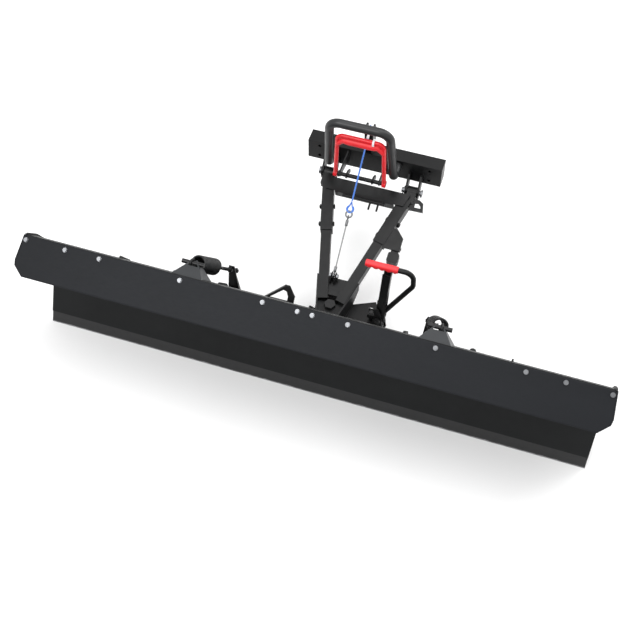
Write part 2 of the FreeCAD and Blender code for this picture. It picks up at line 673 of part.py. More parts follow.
def sector_plate():
    """Fan plate under the nose, with a lock hole for each blade angle."""
    z0 = BEAM_TOP + 1.0
    reach = math.radians(36)
    c, s = SECTOR_R * math.cos(reach), SECTOR_R * math.sin(reach)
    a, m, b = Vector(c, KING_Y - s, z0), Vector(SECTOR_R, KING_Y, z0), Vector(c, KING_Y + s, z0)
    hub_a, hub_m, hub_b = Vector(0, KING_Y - 38, z0), Vector(-38, KING_Y, z0), Vector(0, KING_Y + 38, z0)
    edges = [Part.Arc(a, m, b).toShape(), Part.LineSegment(b, hub_b).toShape(),
             Part.Arc(hub_b, hub_m, hub_a).toShape(), Part.LineSegment(hub_a, a).toShape()]
    fan = Part.Face(Part.Wire(edges)).extrude(Z * SECTOR_T)
    fan = fan.cut(Part.makeCylinder(KING_R, 60, Vector(0, KING_Y, z0 - 20), Z))
    for deg in SWING_STOPS:
        a = math.radians(deg)
        p = Vector(LOCK_X * math.cos(a), KING_Y + LOCK_X * math.sin(a), z0 - 20)
        fan = fan.cut(Part.makeCylinder(LOCK_R + 0.5, 60, p, Z))
    return fan


def kingpin():
    pin = rod((0, KING_Y, BEAM_TOP - BEAM - 24), (0, KING_Y, 176), KING_R)
    return pin.fuse(hexagon((0, KING_Y, 176), (0, 0, 1), 38, 14))


def kingpin_nut():
    z = BEAM_TOP - BEAM - 1.5
    nut = hexagon((0, KING_Y, z), (0, 0, -1), 38, 18)
    return nut.cut(rod((0, KING_Y, z + 5), (0, KING_Y, z - 30), KING_R))


ANCHOR = Vector(-19, 388, 219)
CLEVIS_X = (-27.0, -11.0)
CLEVIS_T = 4.0


def cable_anchor():
    """Plate between the side tubes with two clevis plates for the lift cable's pin."""
    half0, half1 = tube_x(322), tube_x(396)
    shape = prism([(-half0, 322, 180), (half0, 322, 180), (half1, 396, 190), (-half1, 396, 190)], (0, 0, 7))
    for x in CLEVIS_X:
        yz = [(366, 184), (396, 188), (402, 208), (400, 227), (382, 230), (366, 210)]
        shape = shape.fuse(side_plate(yz, x, CLEVIS_T))
    shape = shape.cut(solid_tubes())
    return shape.cut(rod((-60, ANCHOR.y, ANCHOR.z), (20, ANCHOR.y, ANCHOR.z), 5.0))


def anchor_bolt():
    a, b = CLEVIS_X[0] - CLEVIS_T / 2, CLEVIS_X[1] + CLEVIS_T / 2
    return bolt((a, ANCHOR.y, ANCHOR.z), (b, ANCHOR.y, ANCHOR.z), 5.0, head=1.5)


STAND_X, STAND_Y, STAND_Z, STAND_R = tube_x(600) + 60, -run(562), 6.0, 9.5


def stand_bracket():
    """Triangular plate on the right tube with two lugs and a fixed pin for the parking stand."""
    x0 = tube_x(600) + 24
    outline = [(-16, 548), (4, 632), (22, 634), (54, 600), (54, 548)]
    shape = prism([(x0 + x, -run(y), 16) for x, y in outline], (0, 0, 5))
    for x in (STAND_X - 18, STAND_X + 14.5):
        shape = shape.fuse(block(x, x + 3.5, STAND_Y - 9, STAND_Y + 9, STAND_Z - 8, 16))
    pin = rod((STAND_X - 18, STAND_Y, STAND_Z), (STAND_X + 20, STAND_Y, STAND_Z), 4.0)
    return tilt(shape.fuse(pin)).cut(solid_tubes())


def parking_stand():
    """Stand leg with its rounded foot, folded forward along the tube."""
    leg = block(STAND_X - 14, STAND_X + 14, -run(540), STAND_Y, -3.5, 15.5)
    leg = leg.fuse(rod((STAND_X - 14, STAND_Y, STAND_Z), (STAND_X + 14, STAND_Y, STAND_Z), STAND_R))
    foot = block(STAND_X - 22, STAND_X + 22, -run(500), -run(541), -12, 15.5)
    foot = foot.makeFillet(9, [e for e in foot.Edges if abs(e.Length - 27.5) < 0.5])
    bore = rod((STAND_X - 30, STAND_Y, STAND_Z), (STAND_X + 30, STAND_Y, STAND_Z), 4.0 + SHAFT_GAP)
    return tilt(leg.fuse(foot).cut(bore))


# ---------- vehicle mount, hoop and release handle ----------

def mount_crossbar():
    y0, y1 = MOUNT_Y - MOUNT_D, MOUNT_Y
    z0, z1 = MOUNT_Z - MOUNT_H / 2, MOUNT_Z + MOUNT_H / 2
    w = MOUNT_WALL
    bar = block(-MOUNT_HALF, MOUNT_HALF, y0, y1, z0, z1)
    bar = bar.cut(block(-MOUNT_HALF, MOUNT_HALF, y0 + w, y1 - w, z0 + w, z1 - w))
    for sx in (-1, 1):
        for sz in (-1, 1):
            p = (sx * MOUNT_HOLES_X / 2, y0 - 10, MOUNT_Z + sz * MOUNT_HOLES_Z / 2)
            q = (p[0], y1 + 10, p[2])
            bar = bar.cut(rod(p, q, MOUNT_HOLE_R))
    return bar


def mount_cap():
    w = MOUNT_WALL
    y0, y1 = MOUNT_Y - MOUNT_D, MOUNT_Y
    z0, z1 = MOUNT_Z - MOUNT_H / 2, MOUNT_Z + MOUNT_H / 2
    cap = block(MOUNT_HALF, MOUNT_HALF + 5, y0, y1, z0, z1)
    return cap.fuse(block(MOUNT_HALF - 14, MOUNT_HALF, y0 + w, y1 - w, z0 + w, z1 - w))


def mount_ear(x):
    """Plate from the crossbar forward to the hitch pin."""
    y = MOUNT_Y - MOUNT_D
    yz = [(y, 340), (y, 380), (y - 14, 380), (HITCH_Y - 20, HITCH_Z + 20), (HITCH_Y - 26, HITCH_Z),
          (HITCH_Y - 20, HITCH_Z - 20), (HITCH_Y, HITCH_Z - 26), (y - 4, 320), (y, 335)]
    ear = side_plate(yz, x, 8)
    return ear.cut(rod((x - 20, HITCH_Y, HITCH_Z), (x + 20, HITCH_Y, HITCH_Z), HITCH_R))


def hitch_pin():
    a, b = HITCH_X - 42, HITCH_X + 34
    pin = rod((a, HITCH_Y, HITCH_Z), (b, HITCH_Y, HITCH_Z), HITCH_R)
    head = rod((b, HITCH_Y, HITCH_Z), (b + 6, HITCH_Y, HITCH_Z), 15)
    return pin.fuse(head).cut(rod((a + 8, HITCH_Y - 20, HITCH_Z), (a + 8, HITCH_Y + 20, HITCH_Z), 2.6))


def hairpin():
    """Spring clip through the hitch pin's hole."""
    x = HITCH_X - 34
    return rod((x, HITCH_Y - 24, HITCH_Z), (x, HITCH_Y + 20, HITCH_Z), 2.5)


def hoop():
    y, z = MOUNT_Y - MOUNT_D, 398.0
    c = HOOP_X
    lean = 48.0
    top = 668.0
    pts = [(c - HOOP_FOOT, y, z), (c - HOOP_FOOT, 772, z), (c - HOOP_TOP, 772 - lean, top),
           (c + HOOP_TOP, 772 - lean, top), (c + HOOP_FOOT, 772, z), (c + HOOP_FOOT, y, z)]
    return round_tube(pts, (32, 44, 44, 32), HOOP_R, HOOP_R - 2.5)


LATCH_X = 78.0
HANDLE_FOOT, HANDLE_TOP, HANDLE_R = 96.0, 618.0, 8.0
GRIP_HALF = 64.0          # release grip, half its length


def latch_arm(x):
    """Plate from the crossbar forward to the release handle's pivot."""
    y = MOUNT_Y - MOUNT_D
    nose = [(20, 17), (0, 17), (-14, 0), (0, -16), (24, -16)]
    arm = side_plate([(y, 366), (y, 420)] + [(RELEASE_Y + dy, RELEASE_Z + dz) for dy, dz in nose], x, 6)
    return arm.cut(rod((x - 20, RELEASE_Y, RELEASE_Z), (x + 20, RELEASE_Y, RELEASE_Z), 8 + SHAFT_GAP))


def latch_shaft():
    half = HANDLE_FOOT + 8
    return rod((LIFT_X - half, RELEASE_Y, RELEASE_Z), (LIFT_X + half, RELEASE_Y, RELEASE_Z), 8.0)


def release_handle():
    """U-shaped bar that turns the latch shaft."""
    c, half, top = LIFT_X, HANDLE_FOOT, HANDLE_TOP
    y, z = RELEASE_Y, RELEASE_Z
    inner = half - 8
    pts = [(c - half, y - 2, z), (c - inner, y - 12, top), (c + inner, y - 12, top), (c + half, y - 2, z)]
    bar = round_tube(pts, (24, 24), HANDLE_R)
    for s in (-1, 1):
        eye = rod((c + s * half - 7, y, z), (c + s * half + 7, y, z), 14)
        bar = bar.fuse(eye)
    return bar.cut(latch_shaft())


def release_grip():
    """Moulded sleeve over the handle's crossbar."""
    y, c = RELEASE_Y - 12, LIFT_X
    a, b = (c - GRIP_HALF, y, HANDLE_TOP), (c + GRIP_HALF, y, HANDLE_TOP)
    return rod(a, b, 14.5).cut(rod(a, b, HANDLE_R))


def latch_cam(x):
    """Hook plate that turns with the release handle and grips the ear's stop."""
    y, z = RELEASE_Y, RELEASE_Z
    outline = [(-13, -4), (-8, 12), (12, 12), (40, -6), (44, -22), (34, -24), (24, -12), (4, -14)]
    cam = side_plate([(y + dy, z + dz) for dy, dz in outline], x, 6)
    return cam.cut(rod((x - 20, y, z), (x + 20, y, z), 8.0))


ROPE_END = Vector(LIFT_X, 846, 553)


def rope_post():
    """Upright on the crossbar that holds the upper end of the lift rope."""
    z0 = MOUNT_Z + MOUNT_H / 2
    shape = None
    for x in (LIFT_X - 14, LIFT_X + 14):
        yz = [(842, z0), (886, z0), (870, ROPE_END.z + 4), (860, ROPE_END.z + 14), (838, ROPE_END.z + 14),
              (830, ROPE_END.z)]
        plate = side_plate(yz, x, 6)
        shape = plate if shape is None else shape.fuse(plate)
    shape = shape.fuse(block(LIFT_X - 17, LIFT_X + 17, 866, 871, z0, ROPE_END.z - 40))
    p, q = (LIFT_X - 40, 846, ROPE_END.z), (LIFT_X + 40, 846, ROPE_END.z)
    return shape.cut(rod(p, q, 6.0))


def rope_bolt():
    return bolt((LIFT_X + 17, 846, ROPE_END.z), (LIFT_X - 17, 846, ROPE_END.z), 6.0)


# ---------- lift line ----------

LINE = ROPE_END - ANCHOR
ROPE_R, CABLE_R = 3.0, 2.4
LINK_AT = 233.0           # middle of the cable's upper eye is 8 short of this


def on_line(s):
    """Point of the lift line a distance s from its anchor."""
    return ANCHOR + Vector(LINE).normalize() * s


def lift_line():
    """Steel cable with its eyes and ferrules, the link, the thimble and the rope."""
    length = LINE.Length
    side = Vector(LINE).normalize().cross(X).normalize()

    def along(start, end, radius):
        """Round bar along the line between two distances from its anchor."""
        return rod(on_line(start), on_line(end), radius)

    def ring(s, mean, wire, facing=X):
        return Part.makeTorus(mean, wire, on_line(s), facing)
    keep("cable_ends", ring(1.2, 9.0, CABLE_R), along(13, 36, 5.5))
    keep("cable_ends", ring(LINK_AT - 8, 7.0, CABLE_R), along(LINK_AT - 41, LINK_AT - 18, 5.5))
    keep("lift_cable", along(36, LINK_AT - 41, CABLE_R))
    keep("line_link", ring(LINK_AT + 4, 12.0, 3.0, side))
    keep("rope_thimble", ring(LINK_AT + 20, 11.0, 3.6))
    keep("winch_rope", along(LINK_AT + 60, length - 40, ROPE_R))
    keep("rope_ends", along(LINK_AT + 35, LINK_AT + 60, 5.0))
    keep("rope_ends", along(length - 40, length - 14, 5.0), ring(length, 10.5, ROPE_R))


# ---------- assembly ----------

def pair(name, shape):
    """Keeps a right-hand shape and its mirror image in one node."""
    keep(name, shape, mirror(shape))


def moldboard_pieces():
    keep("moldboard_sheet", moldboard_sheet())
    keep("wear_bar", wear_bar())
    wear_bar_bolts()
    keep("rubber_flap", rubber_flap())
    flap_bolts()
    keep("rear_stiffener", stiffener())
    pair("end_ribs", end_rib(HALF_W - RIB_T / 2))
    pair("middle_ribs", middle_rib(700))
    keep("middle_ribs", middle_rib(0))
    for x in PIVOT_RIB_X:
        pair("pivot_ribs", pivot_rib(x))
    pair("blade_pins", trip_pin())
    pair("spring_gussets", gusset())
    pair("blade_pins", spring_bolt())
    pair("skid_sockets", skid_socket())
    both("skid_shoe_left", "skid_shoe_right", skid_shoe())


def swing_frame_pieces():
    keep("crossmember", crossmember())
    pair("trip_arms", trip_arm())
    pair("spring_posts", spring_post())
    pair("eyebolts", eyebolt())
    for nut in eyebolt_nuts():
        pair("eyebolts", nut)
    both("trip_spring_left", "trip_spring_right", trip_spring())
    keep("loop_bracket", loop_bracket())
    keep("lever_post", lever_post())
    keep("lever_pivot_bolt", bolt((LEVER_X, KING_Y + 22, LEVER_Z), (LEVER_X, KING_Y - 22, LEVER_Z), 6.0))
    keep("angle_lever", angle_lever().fuse(lever_arm()))
    keep("lever_grip", lever_grip())
    keep("lock_pin", lock_pin())


def push_frame_pieces():
    both("front_tube_left", "front_tube_right", front_tube())
    both("rear_tube_left", "rear_tube_right", rear_tube())
    keep("rear_cross_plate", rear_cross_plate())
    keep("stow_rod", stow_rod())
    keep("tie_loop", tie_loop())
    side_bolts()
    keep("nose_box", nose_box())
    keep("sector_plate", sector_plate())
    keep("kingpin", kingpin(), kingpin_nut())
    keep("cable_anchor", cable_anchor())
    keep("anchor_bolt", anchor_bolt())
    keep("stand_bracket", stand_bracket())
    keep("parking_stand", parking_stand())


def mount_pieces():
    keep("mount_crossbar", mount_crossbar())
    pair("mount_caps", mount_cap())
    for x in (HITCH_X - 24, HITCH_X + 24):
        pair("mount_ears", mount_ear(x))
    pair("hitch_pins", hitch_pin())
    pair("hitch_pins", hairpin())
    keep("hoop", hoop())
    for s in (-1, 1):
        keep("latch_arms", latch_arm(LIFT_X + s * LATCH_X))
    shaft = latch_shaft()
    for s in (-1, 1):
        shaft = shaft.fuse(latch_cam(LIFT_X + s * (LATCH_X - 27)))
    keep("latch_shaft", shaft)
    keep("release_handle", release_handle())
    keep("release_grip", release_grip())
    keep("rope_post", rope_post())
    keep("rope_bolt", rope_bolt())


moldboard_pieces()
swing_frame_pieces()
push_frame_pieces()
mount_pieces()
lift_line()
os.makedirs("parts", exist_ok=True)
for name, shapes in parts.items():
    shape = shapes[0] if len(shapes) == 1 else Part.makeCompound(shapes)
    shape = shape.copy()
    shape.translate(Vector(0, -MOUNT_Y, -MOUNT_Z))
    shape.exportStep("parts/" + name + ".step")
print(len(parts), "nodes")
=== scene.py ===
"""Looks of a utility vehicle's snow plow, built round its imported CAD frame.

Places are given in millimetres from the middle of the cutting edge on the ground, as the part
is drawn: X along the blade, Y towards the vehicle, Z up. at() turns them into the frame's metres.
"""
import json
import math

import bmesh
import bpy
from mathutils import Matrix, Vector, noise


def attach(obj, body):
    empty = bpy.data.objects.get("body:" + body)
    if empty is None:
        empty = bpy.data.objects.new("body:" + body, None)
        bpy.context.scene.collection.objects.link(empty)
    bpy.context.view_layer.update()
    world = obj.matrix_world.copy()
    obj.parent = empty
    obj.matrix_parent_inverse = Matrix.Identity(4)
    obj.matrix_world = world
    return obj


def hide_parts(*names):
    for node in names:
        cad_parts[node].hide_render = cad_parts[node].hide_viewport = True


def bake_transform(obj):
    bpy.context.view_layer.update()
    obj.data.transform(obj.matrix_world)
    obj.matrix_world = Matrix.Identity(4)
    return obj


# Driving dimensions, in millimetres, as in the CAD part
MOUNT_Y, MOUNT_Z = 900.0, 380.0
TOP_Y, TOP_Z = 8.0, 513.0
FLANGE_DIP = math.radians(32)
FLAP_T, FLAP_L, FLAP_WIDE = 6.0, 146.0, 1052.0
BOLT_X = (26, 150, 450, 750, 880, 1030)
BOLT_S = 16.0
SPRING_BOLT = Vector((447, 93, 485))
SPRING_END = Vector((378, 272, 252))
SPRING_R, SPRING_WIRE = 32.0, 8.5
GRIP_A, GRIP_B = Vector((128, 280, 488)), Vector((246, 280, 488))
GRIP_R = 12.5
ANCHOR, ROPE_EYE = Vector((-19, 388, 219)), Vector((-25, 846, 553))
ROPE_R, CABLE_R = 3.0, 2.4
LINK_AT = 233.0
LIFT_X, RELEASE_Y, HANDLE_TOP = -25.0, 728.0, 618.0
HANDLE_HALF = 88.0

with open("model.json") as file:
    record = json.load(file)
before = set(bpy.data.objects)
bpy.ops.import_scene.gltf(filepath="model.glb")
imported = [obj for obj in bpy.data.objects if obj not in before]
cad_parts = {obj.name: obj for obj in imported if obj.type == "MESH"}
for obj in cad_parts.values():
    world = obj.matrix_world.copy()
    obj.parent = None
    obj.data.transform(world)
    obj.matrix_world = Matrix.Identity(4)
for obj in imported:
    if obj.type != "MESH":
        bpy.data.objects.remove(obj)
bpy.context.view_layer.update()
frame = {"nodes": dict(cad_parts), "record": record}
nodes = frame["nodes"]


def at(x, y, z):
    """A drawing point in the frame's metres."""
    return Vector((x, y - MOUNT_Y, z - MOUNT_Z)) / 1000


def place(v):
    return at(v.x, v.y, v.z)


# ---------- camera, floor and light ----------

def make_camera():
    cam = bpy.data.objects.new("camera", bpy.data.cameras.new("camera"))
    bpy.context.scene.collection.objects.link(cam)
    cam.location = at(685, -2009, 3462)
    right = Vector((0.9511, 0.3090, 0.0))
    forward = Vector((-0.1777, 0.5469, -0.8182)).normalized()
    up = right.cross(forward)
    cam.rotation_euler = Matrix((right, up, -forward)).transposed().to_euler()
    cam.data.lens = 61.14
    cam.data.sensor_width = 36.0
    cam.data.shift_x = 0.0081
    cam.data.shift_y = 0.0048
    cam.data.clip_end = 60
    bpy.context.scene.camera = cam


def area_light(name, location, target, size, power):
    data = bpy.data.lights.new(name, "AREA")
    data.shape = "RECTANGLE"
    data.size, data.size_y = size
    data.energy = power
    light = bpy.data.objects.new(name, data)
    light.location = location
    light.rotation_euler = (Vector(target) - Vector(location)).to_track_quat("-Z", "Y").to_euler()
    bpy.context.scene.collection.objects.link(light)


def make_studio():
    bm = bmesh.new()
    bmesh.ops.create_grid(bm, x_segments=1, y_segments=1, size=14)
    floor = new_mesh("floor", bm)
    floor.location.z = -MOUNT_Z / 1000 - 0.001
    floor.data.materials.append(floor_paint())
    world = bpy.data.worlds.new("studio")
    world.use_nodes = True
    world.node_tree.nodes["Background"].inputs["Color"].default_value = (1.0, 1.0, 1.0, 1)
    world.node_tree.nodes["Background"].inputs["Strength"].default_value = 0.9
    bpy.context.scene.world = world
    bpy.context.scene.view_settings.view_transform = "Standard"
    area_light("key", (-1.6, -3.4, 4.2), (0, -0.6, 0), (2.6, 2.0), 130)
    area_light("top", (0.6, 0.3, 4.4), (0, -0.4, 0), (4.0, 3.0), 110)
    area_light("rim", (2.8, 2.6, 2.6), (0, -0.4, 0), (1.6, 1.6), 60)


# ---------- mesh helpers ----------

def new_mesh(name, bm, smooth=False):
    mesh = bpy.data.meshes.new(name)
    bm.to_mesh(mesh)
    bm.free()
    if smooth:
        mesh.shade_smooth()
    obj = bpy.data.objects.new(name, mesh)
    bpy.context.scene.collection.objects.link(obj)
    return obj


def frames_along(points):
    """Tangent and two normals at each point, turning as little as possible."""
    tangents = []
    for k in range(len(points)):
        tangents.append((points[min(k + 1, len(points) - 1)] - points[max(k - 1, 0)]).normalized())
    side = tangents[0].orthogonal().normalized()
    out = []
    for t in tangents:
        side = (side - t * side.dot(t)).normalized()
        out.append((t, side, t.cross(side)))
    return out


def tube(name, points, radius, segments=16, closed=False):
    """Capped tube through points in millimetres. radius is a number, or a function of (length, angle)."""
    bm = bmesh.new()
    rings, run, last = [], 0.0, points[0]
    for p, (_, u, v) in zip(points, frames_along(points)):
        run += (p - last).length
        last = p
        ring = []
        for k in range(segments):
            a = 2 * math.pi * k / segments
            r = radius(run, a) if callable(radius) else radius
            ring.append(bm.verts.new(place(p + (u * math.cos(a) + v * math.sin(a)) * r)))
        rings.append(ring)
    pairs = list(zip(rings, rings[1:])) + ([(rings[-1], rings[0])] if closed else [])
    for a, b in pairs:
        for k in range(segments):
            n = (k + 1) % segments
            bm.faces.new((a[k], a[n], b[n], b[k]))
    if not closed:
        bm.faces.new(list(reversed(rings[0])))
        bm.faces.new(rings[-1])
    bmesh.ops.recalc_face_normals(bm, faces=bm.faces)
    return new_mesh(name, bm, smooth=True)


def arc(centre, u, v, radius, start, end, count):
    """Points of a circle's arc in the plane of u and v, angles in degrees."""
    out = []
    for k in range(count + 1):
        a = math.radians(start + (end - start) * k / count)
        out.append(centre + (u * math.cos(a) + v * math.sin(a)) * radius)
    return out


def straight(a, b, count):
    return [a.lerp(b, k / count) for k in range(count + 1)]


def joined(name, objs):
    """Several meshes as one."""
    bm = bmesh.new()
    for o in objs:
        bm.from_mesh(o.data)
        bpy.data.objects.remove(o)
    return new_mesh(name, bm, smooth=True)


def painted(obj, material):
    obj.data.materials.clear()
    obj.data.materials.append(material)
    return obj


def lathe(name, axis_a, axis_b, profile, segments=32, bump=None):
    """Closed turned shape from axis_a to axis_b; profile lists (share of the length, radius)."""
    axis = (axis_b - axis_a).normalized()
    u = axis.cross(Vector((0, 1, 0)))
    u = (axis.orthogonal() if u.length < 0.1 else u).normalized()
    v = axis.cross(u)
    bm = bmesh.new()
    rings = []
    for share, radius in profile:
        c = axis_a.lerp(axis_b, share)
        ring = []
        for k in range(segments):
            a = 2 * math.pi * k / segments
            direction = u * math.cos(a) + v * math.sin(a)
            r = radius + (bump(share, direction) if bump else 0)
            ring.append(bm.verts.new(place(c + direction * r)))
        rings.append(ring)
    for a, b in zip(rings, rings[1:]):
        for k in range(segments):
            n = (k + 1) % segments
            bm.faces.new((a[k], a[n], b[n], b[k]))
    bm.faces.new(list(reversed(rings[0])))
    bm.faces.new(rings[-1])
    bmesh.ops.recalc_face_normals(bm, faces=bm.faces)
    return new_mesh(name, bm, smooth=True)


# ---------- materials ----------

def shader(name):
    """A new material's node tree, its shader and its object coordinates."""
    mat = bpy.data.materials.new(name)
    mat.use_nodes = True
    tree = mat.node_tree
    bsdf = tree.nodes["Principled BSDF"]
    coords = tree.nodes.new("ShaderNodeTexCoord")
    return mat, tree, bsdf, coords.outputs["Object"]


def noise_of(tree, vector, scale, detail=4.0, rough=0.55):
    node = tree.nodes.new("ShaderNodeTexNoise")
    node.inputs["Scale"].default_value = scale
    node.inputs["Detail"].default_value = detail
    node.inputs["Roughness"].default_value = rough
    tree.links.new(vector, node.inputs["Vector"])
    return node.outputs["Fac"]


def ramp(tree, value, stops):
    """Colour ramp; stops are (position, colour)."""
    node = tree.nodes.new("ShaderNodeValToRGB")
    first, second = node.color_ramp.elements
    first.position, first.color = stops[0][0], (*stops[0][1], 1)
    second.position, second.color = stops[-1][0], (*stops[-1][1], 1)
    for position, colour in stops[1:-1]:
        node.color_ramp.elements.new(position).color = (*colour, 1)
    tree.links.new(value, node.inputs["Fac"])
    return node.outputs["Color"]


def ranged(tree, value, low, high, start=0.3, end=0.7):
    """value's stretch from start to end spread from low to high."""
    node = tree.nodes.new("ShaderNodeMapRange")
    node.inputs["From Min"].default_value = start
    node.inputs["From Max"].default_value = end
    node.inputs["To Min"].default_value = low
    node.inputs["To Max"].default_value = high
    tree.links.new(value, node.inputs["Value"])
    return node.outputs["Result"]


def bumped(tree, bsdf, height, strength, distance):
    node = tree.nodes.new("ShaderNodeBump")
    node.inputs["Strength"].default_value = strength
    node.inputs["Distance"].default_value = distance
    tree.links.new(height, node.inputs["Height"])
    tree.links.new(node.outputs["Normal"], bsdf.inputs["Normal"])


def stretched(tree, vector, scale):
    node = tree.nodes.new("ShaderNodeMapping")
    node.inputs["Scale"].default_value = scale
    tree.links.new(vector, node.inputs["Vector"])
    return node.outputs["Vector"]


def shade(colour, k):
    return tuple(c * k for c in colour)


def mottled(tree, bsdf, value, colour, dark, light, start=0.3, end=0.7):
    """Base colour that goes from a darker to a lighter shade as value rises."""
    stops = [(start, shade(colour, dark)), (end, shade(colour, light))]
    tree.links.new(ramp(tree, value, stops), bsdf.inputs["Base Color"])


def coat(name, colour, rough=(0.38, 0.5), grain=900, peel=0.12, specular=0.5):
    """Powder coat: an orange-peel skin with cloudy variation in colour and gloss."""
    mat, tree, bsdf, vector = shader(name)
    clouds = noise_of(tree, vector, 6, 5)
    mottled(tree, bsdf, clouds, colour, 0.86, 1.16)
    tree.links.new(ranged(tree, noise_of(tree, vector, 38, 6), *rough), bsdf.inputs["Roughness"])
    bumped(tree, bsdf, noise_of(tree, vector, grain, 3), peel, 0.0004)
    bsdf.inputs["Specular IOR Level"].default_value = specular
    return mat


def metal(name, colour, rough=(0.25, 0.42), grain=(400, 400, 400), depth=0.06):
    """Plated or bare steel with fine grain and slight stains."""
    mat, tree, bsdf, vector = shader(name)
    stains = noise_of(tree, vector, 45, 5)
    mottled(tree, bsdf, stains, colour, 0.78, 1.08)
    fine = noise_of(tree, stretched(tree, vector, grain), 3, 4)
    tree.links.new(ranged(tree, fine, *rough), bsdf.inputs["Roughness"])
    bumped(tree, bsdf, fine, depth, 0.0003)
    bsdf.inputs["Metallic"].default_value = 1.0
    return mat


def plastic(name, colour, rough=(0.4, 0.52), grain=1400, depth=0.18):
    """Moulded plastic with a fine spark-eroded texture."""
    mat, tree, bsdf, vector = shader(name)
    mottled(tree, bsdf, noise_of(tree, vector, 14, 3), colour, 0.92, 1.07)
    tree.links.new(ranged(tree, noise_of(tree, vector, 60, 4), *rough), bsdf.inputs["Roughness"])
    bumped(tree, bsdf, noise_of(tree, vector, grain, 2), depth, 0.0003)
    return mat


def sheet_rubber(name, colour):
    """Smooth rubber sheet: broad dusty clouds and a faint calender grain along the blade."""
    mat, tree, bsdf, vector = shader(name)
    dust = noise_of(tree, stretched(tree, vector, (0.5, 1.5, 1.5)), 3.4, 6, 0.6)
    mottled(tree, bsdf, dust, colour, 0.86, 1.16, 0.28, 0.72)
    grain = noise_of(tree, stretched(tree, vector, (30, 260, 260)), 2, 4)
    tree.links.new(ranged(tree, grain, 0.5, 0.62), bsdf.inputs["Roughness"])
    bumped(tree, bsdf, noise_of(tree, vector, 1100, 3), 0.15, 0.0003)
    bsdf.inputs["Specular IOR Level"].default_value = 0.18
    return mat


def scuffed_steel(name, colour, edge_z):
    """Painted wear bar, rubbed to bare metal close to its cutting edge."""
    mat, tree, bsdf, vector = shader(name)
    split = tree.nodes.new("ShaderNodeSeparateXYZ")
    tree.links.new(vector, split.inputs["Vector"])
    ragged = noise_of(tree, stretched(tree, vector, (9, 40, 40)), 4, 6, 0.7)
    lift = tree.nodes.new("ShaderNodeMath")
    lift.operation = "MULTIPLY_ADD"
    lift.inputs[1].default_value = -0.008
    tree.links.new(ragged, lift.inputs[0])
    tree.links.new(split.outputs["Z"], lift.inputs[2])
    worn = ranged(tree, lift.outputs["Value"], 1.0, 0.0, edge_z - 0.003, edge_z + 0.001)
    paint = ramp(tree, noise_of(tree, vector, 8, 5), [(0.3, shade(colour, 0.85)), (0.7, shade(colour, 1.15))])
    mix = tree.nodes.new("ShaderNodeMix")
    mix.data_type = "RGBA"
    tree.links.new(worn, mix.inputs[0])
    tree.links.new(paint, mix.inputs[6])
    tree.links.new(ramp(tree, ragged, [(0.3, (0.16, 0.16, 0.165)), (0.7, (0.3, 0.3, 0.31))]), mix.inputs[7])
    tree.links.new(mix.outputs[2], bsdf.inputs["Base Color"])
    tree.links.new(ranged(tree, noise_of(tree, vector, 60, 5), 0.4, 0.55), bsdf.inputs["Roughness"])
    bumped(tree, bsdf, noise_of(tree, stretched(tree, vector, (60, 500, 500)), 3, 4), 0.2, 0.0004)
    return mat


def fibre(name, colour, turns):
    """Braided rope: thin light and dark yarns and a soft sheen."""
    mat, tree, bsdf, vector = shader(name)
    yarn = noise_of(tree, stretched(tree, vector, (turns, turns, turns)), 9, 6, 0.7)
    mottled(tree, bsdf, yarn, colour, 0.6, 1.35)
    tree.links.new(ranged(tree, yarn, 0.6, 0.8), bsdf.inputs["Roughness"])
    bumped(tree, bsdf, yarn, 0.35, 0.0003)
    bsdf.inputs["Sheen Weight"].default_value = 0.25
    return mat


def floor_paint():
    mat, tree, bsdf, vector = shader("floor_paint")
    mottled(tree, bsdf, noise_of(tree, vector, 2, 3), (1.0, 1.0, 1.0), 0.9, 0.92)
    bsdf.inputs["Roughness"].default_value = 0.85
    bsdf.inputs["Specular IOR Level"].default_value = 0.1
    return mat


PAINTS = {
    "frame_paint": coat("frame_paint", (0.0056, 0.0058, 0.0061), (0.32, 0.44), 900, 0.12, 0.24),
    "moldboard_paint": coat("moldboard_paint", (0.006, 0.0066, 0.007), (0.42, 0.52), 700, 0.12, 0.17),
    "wear_steel": scuffed_steel("wear_steel", (0.0055, 0.0058, 0.0063), -MOUNT_Z / 1000),
    "flap_rubber": sheet_rubber("flap_rubber", (0.0072, 0.0082, 0.0104)),
    "zinc": metal("zinc", (0.2, 0.205, 0.215), (0.3, 0.45)),
    "bare_plate": coat("bare_plate", (0.024, 0.026, 0.0285), (0.4, 0.5), 500, 0.1, 0.42),
    "spring_steel": coat("spring_steel", (0.0075, 0.0078, 0.0083), (0.34, 0.46), 600, 0.1, 0.34),
    "hoop_paint": coat("hoop_paint", (0.016, 0.0165, 0.0175), (0.34, 0.44), 1100, 0.15, 0.4),
    "red_plastic": plastic("red_plastic", (0.78, 0.022, 0.03)),
    "red_paint": coat("red_paint", (0.72, 0.012, 0.02), (0.26, 0.36), 900, 0.06),
    "cable_wire": metal("cable_wire", (0.24, 0.245, 0.25), (0.3, 0.5)),
    "rope_blue": fibre("rope_blue", (0.05, 0.18, 0.62), 60),
    "rope_sleeve": plastic("rope_sleeve", (0.8, 0.81, 0.83), (0.3, 0.4)),
    "blue_anodised": metal("blue_anodised", (0.08, 0.2, 0.62), (0.3, 0.45)),
}


def paint_cad():
    """Each CAD node takes its slot's material, with a small rounded edge on its plates."""
    for sub in frame["record"]["subparts"]:
        obj = nodes[sub["node"]]
        painted(obj, PAINTS[sub["material_slot"]])
        edge = obj.modifiers.new("edge", "BEVEL")
        edge.width = 0.0008
        edge.segments = 2
        edge.limit_method = "ANGLE"
        edge.angle_limit = math.radians(35)
        edge.use_clamp_overlap = True
        edge.harden_normals = False


# ---------- rubber flap ----------

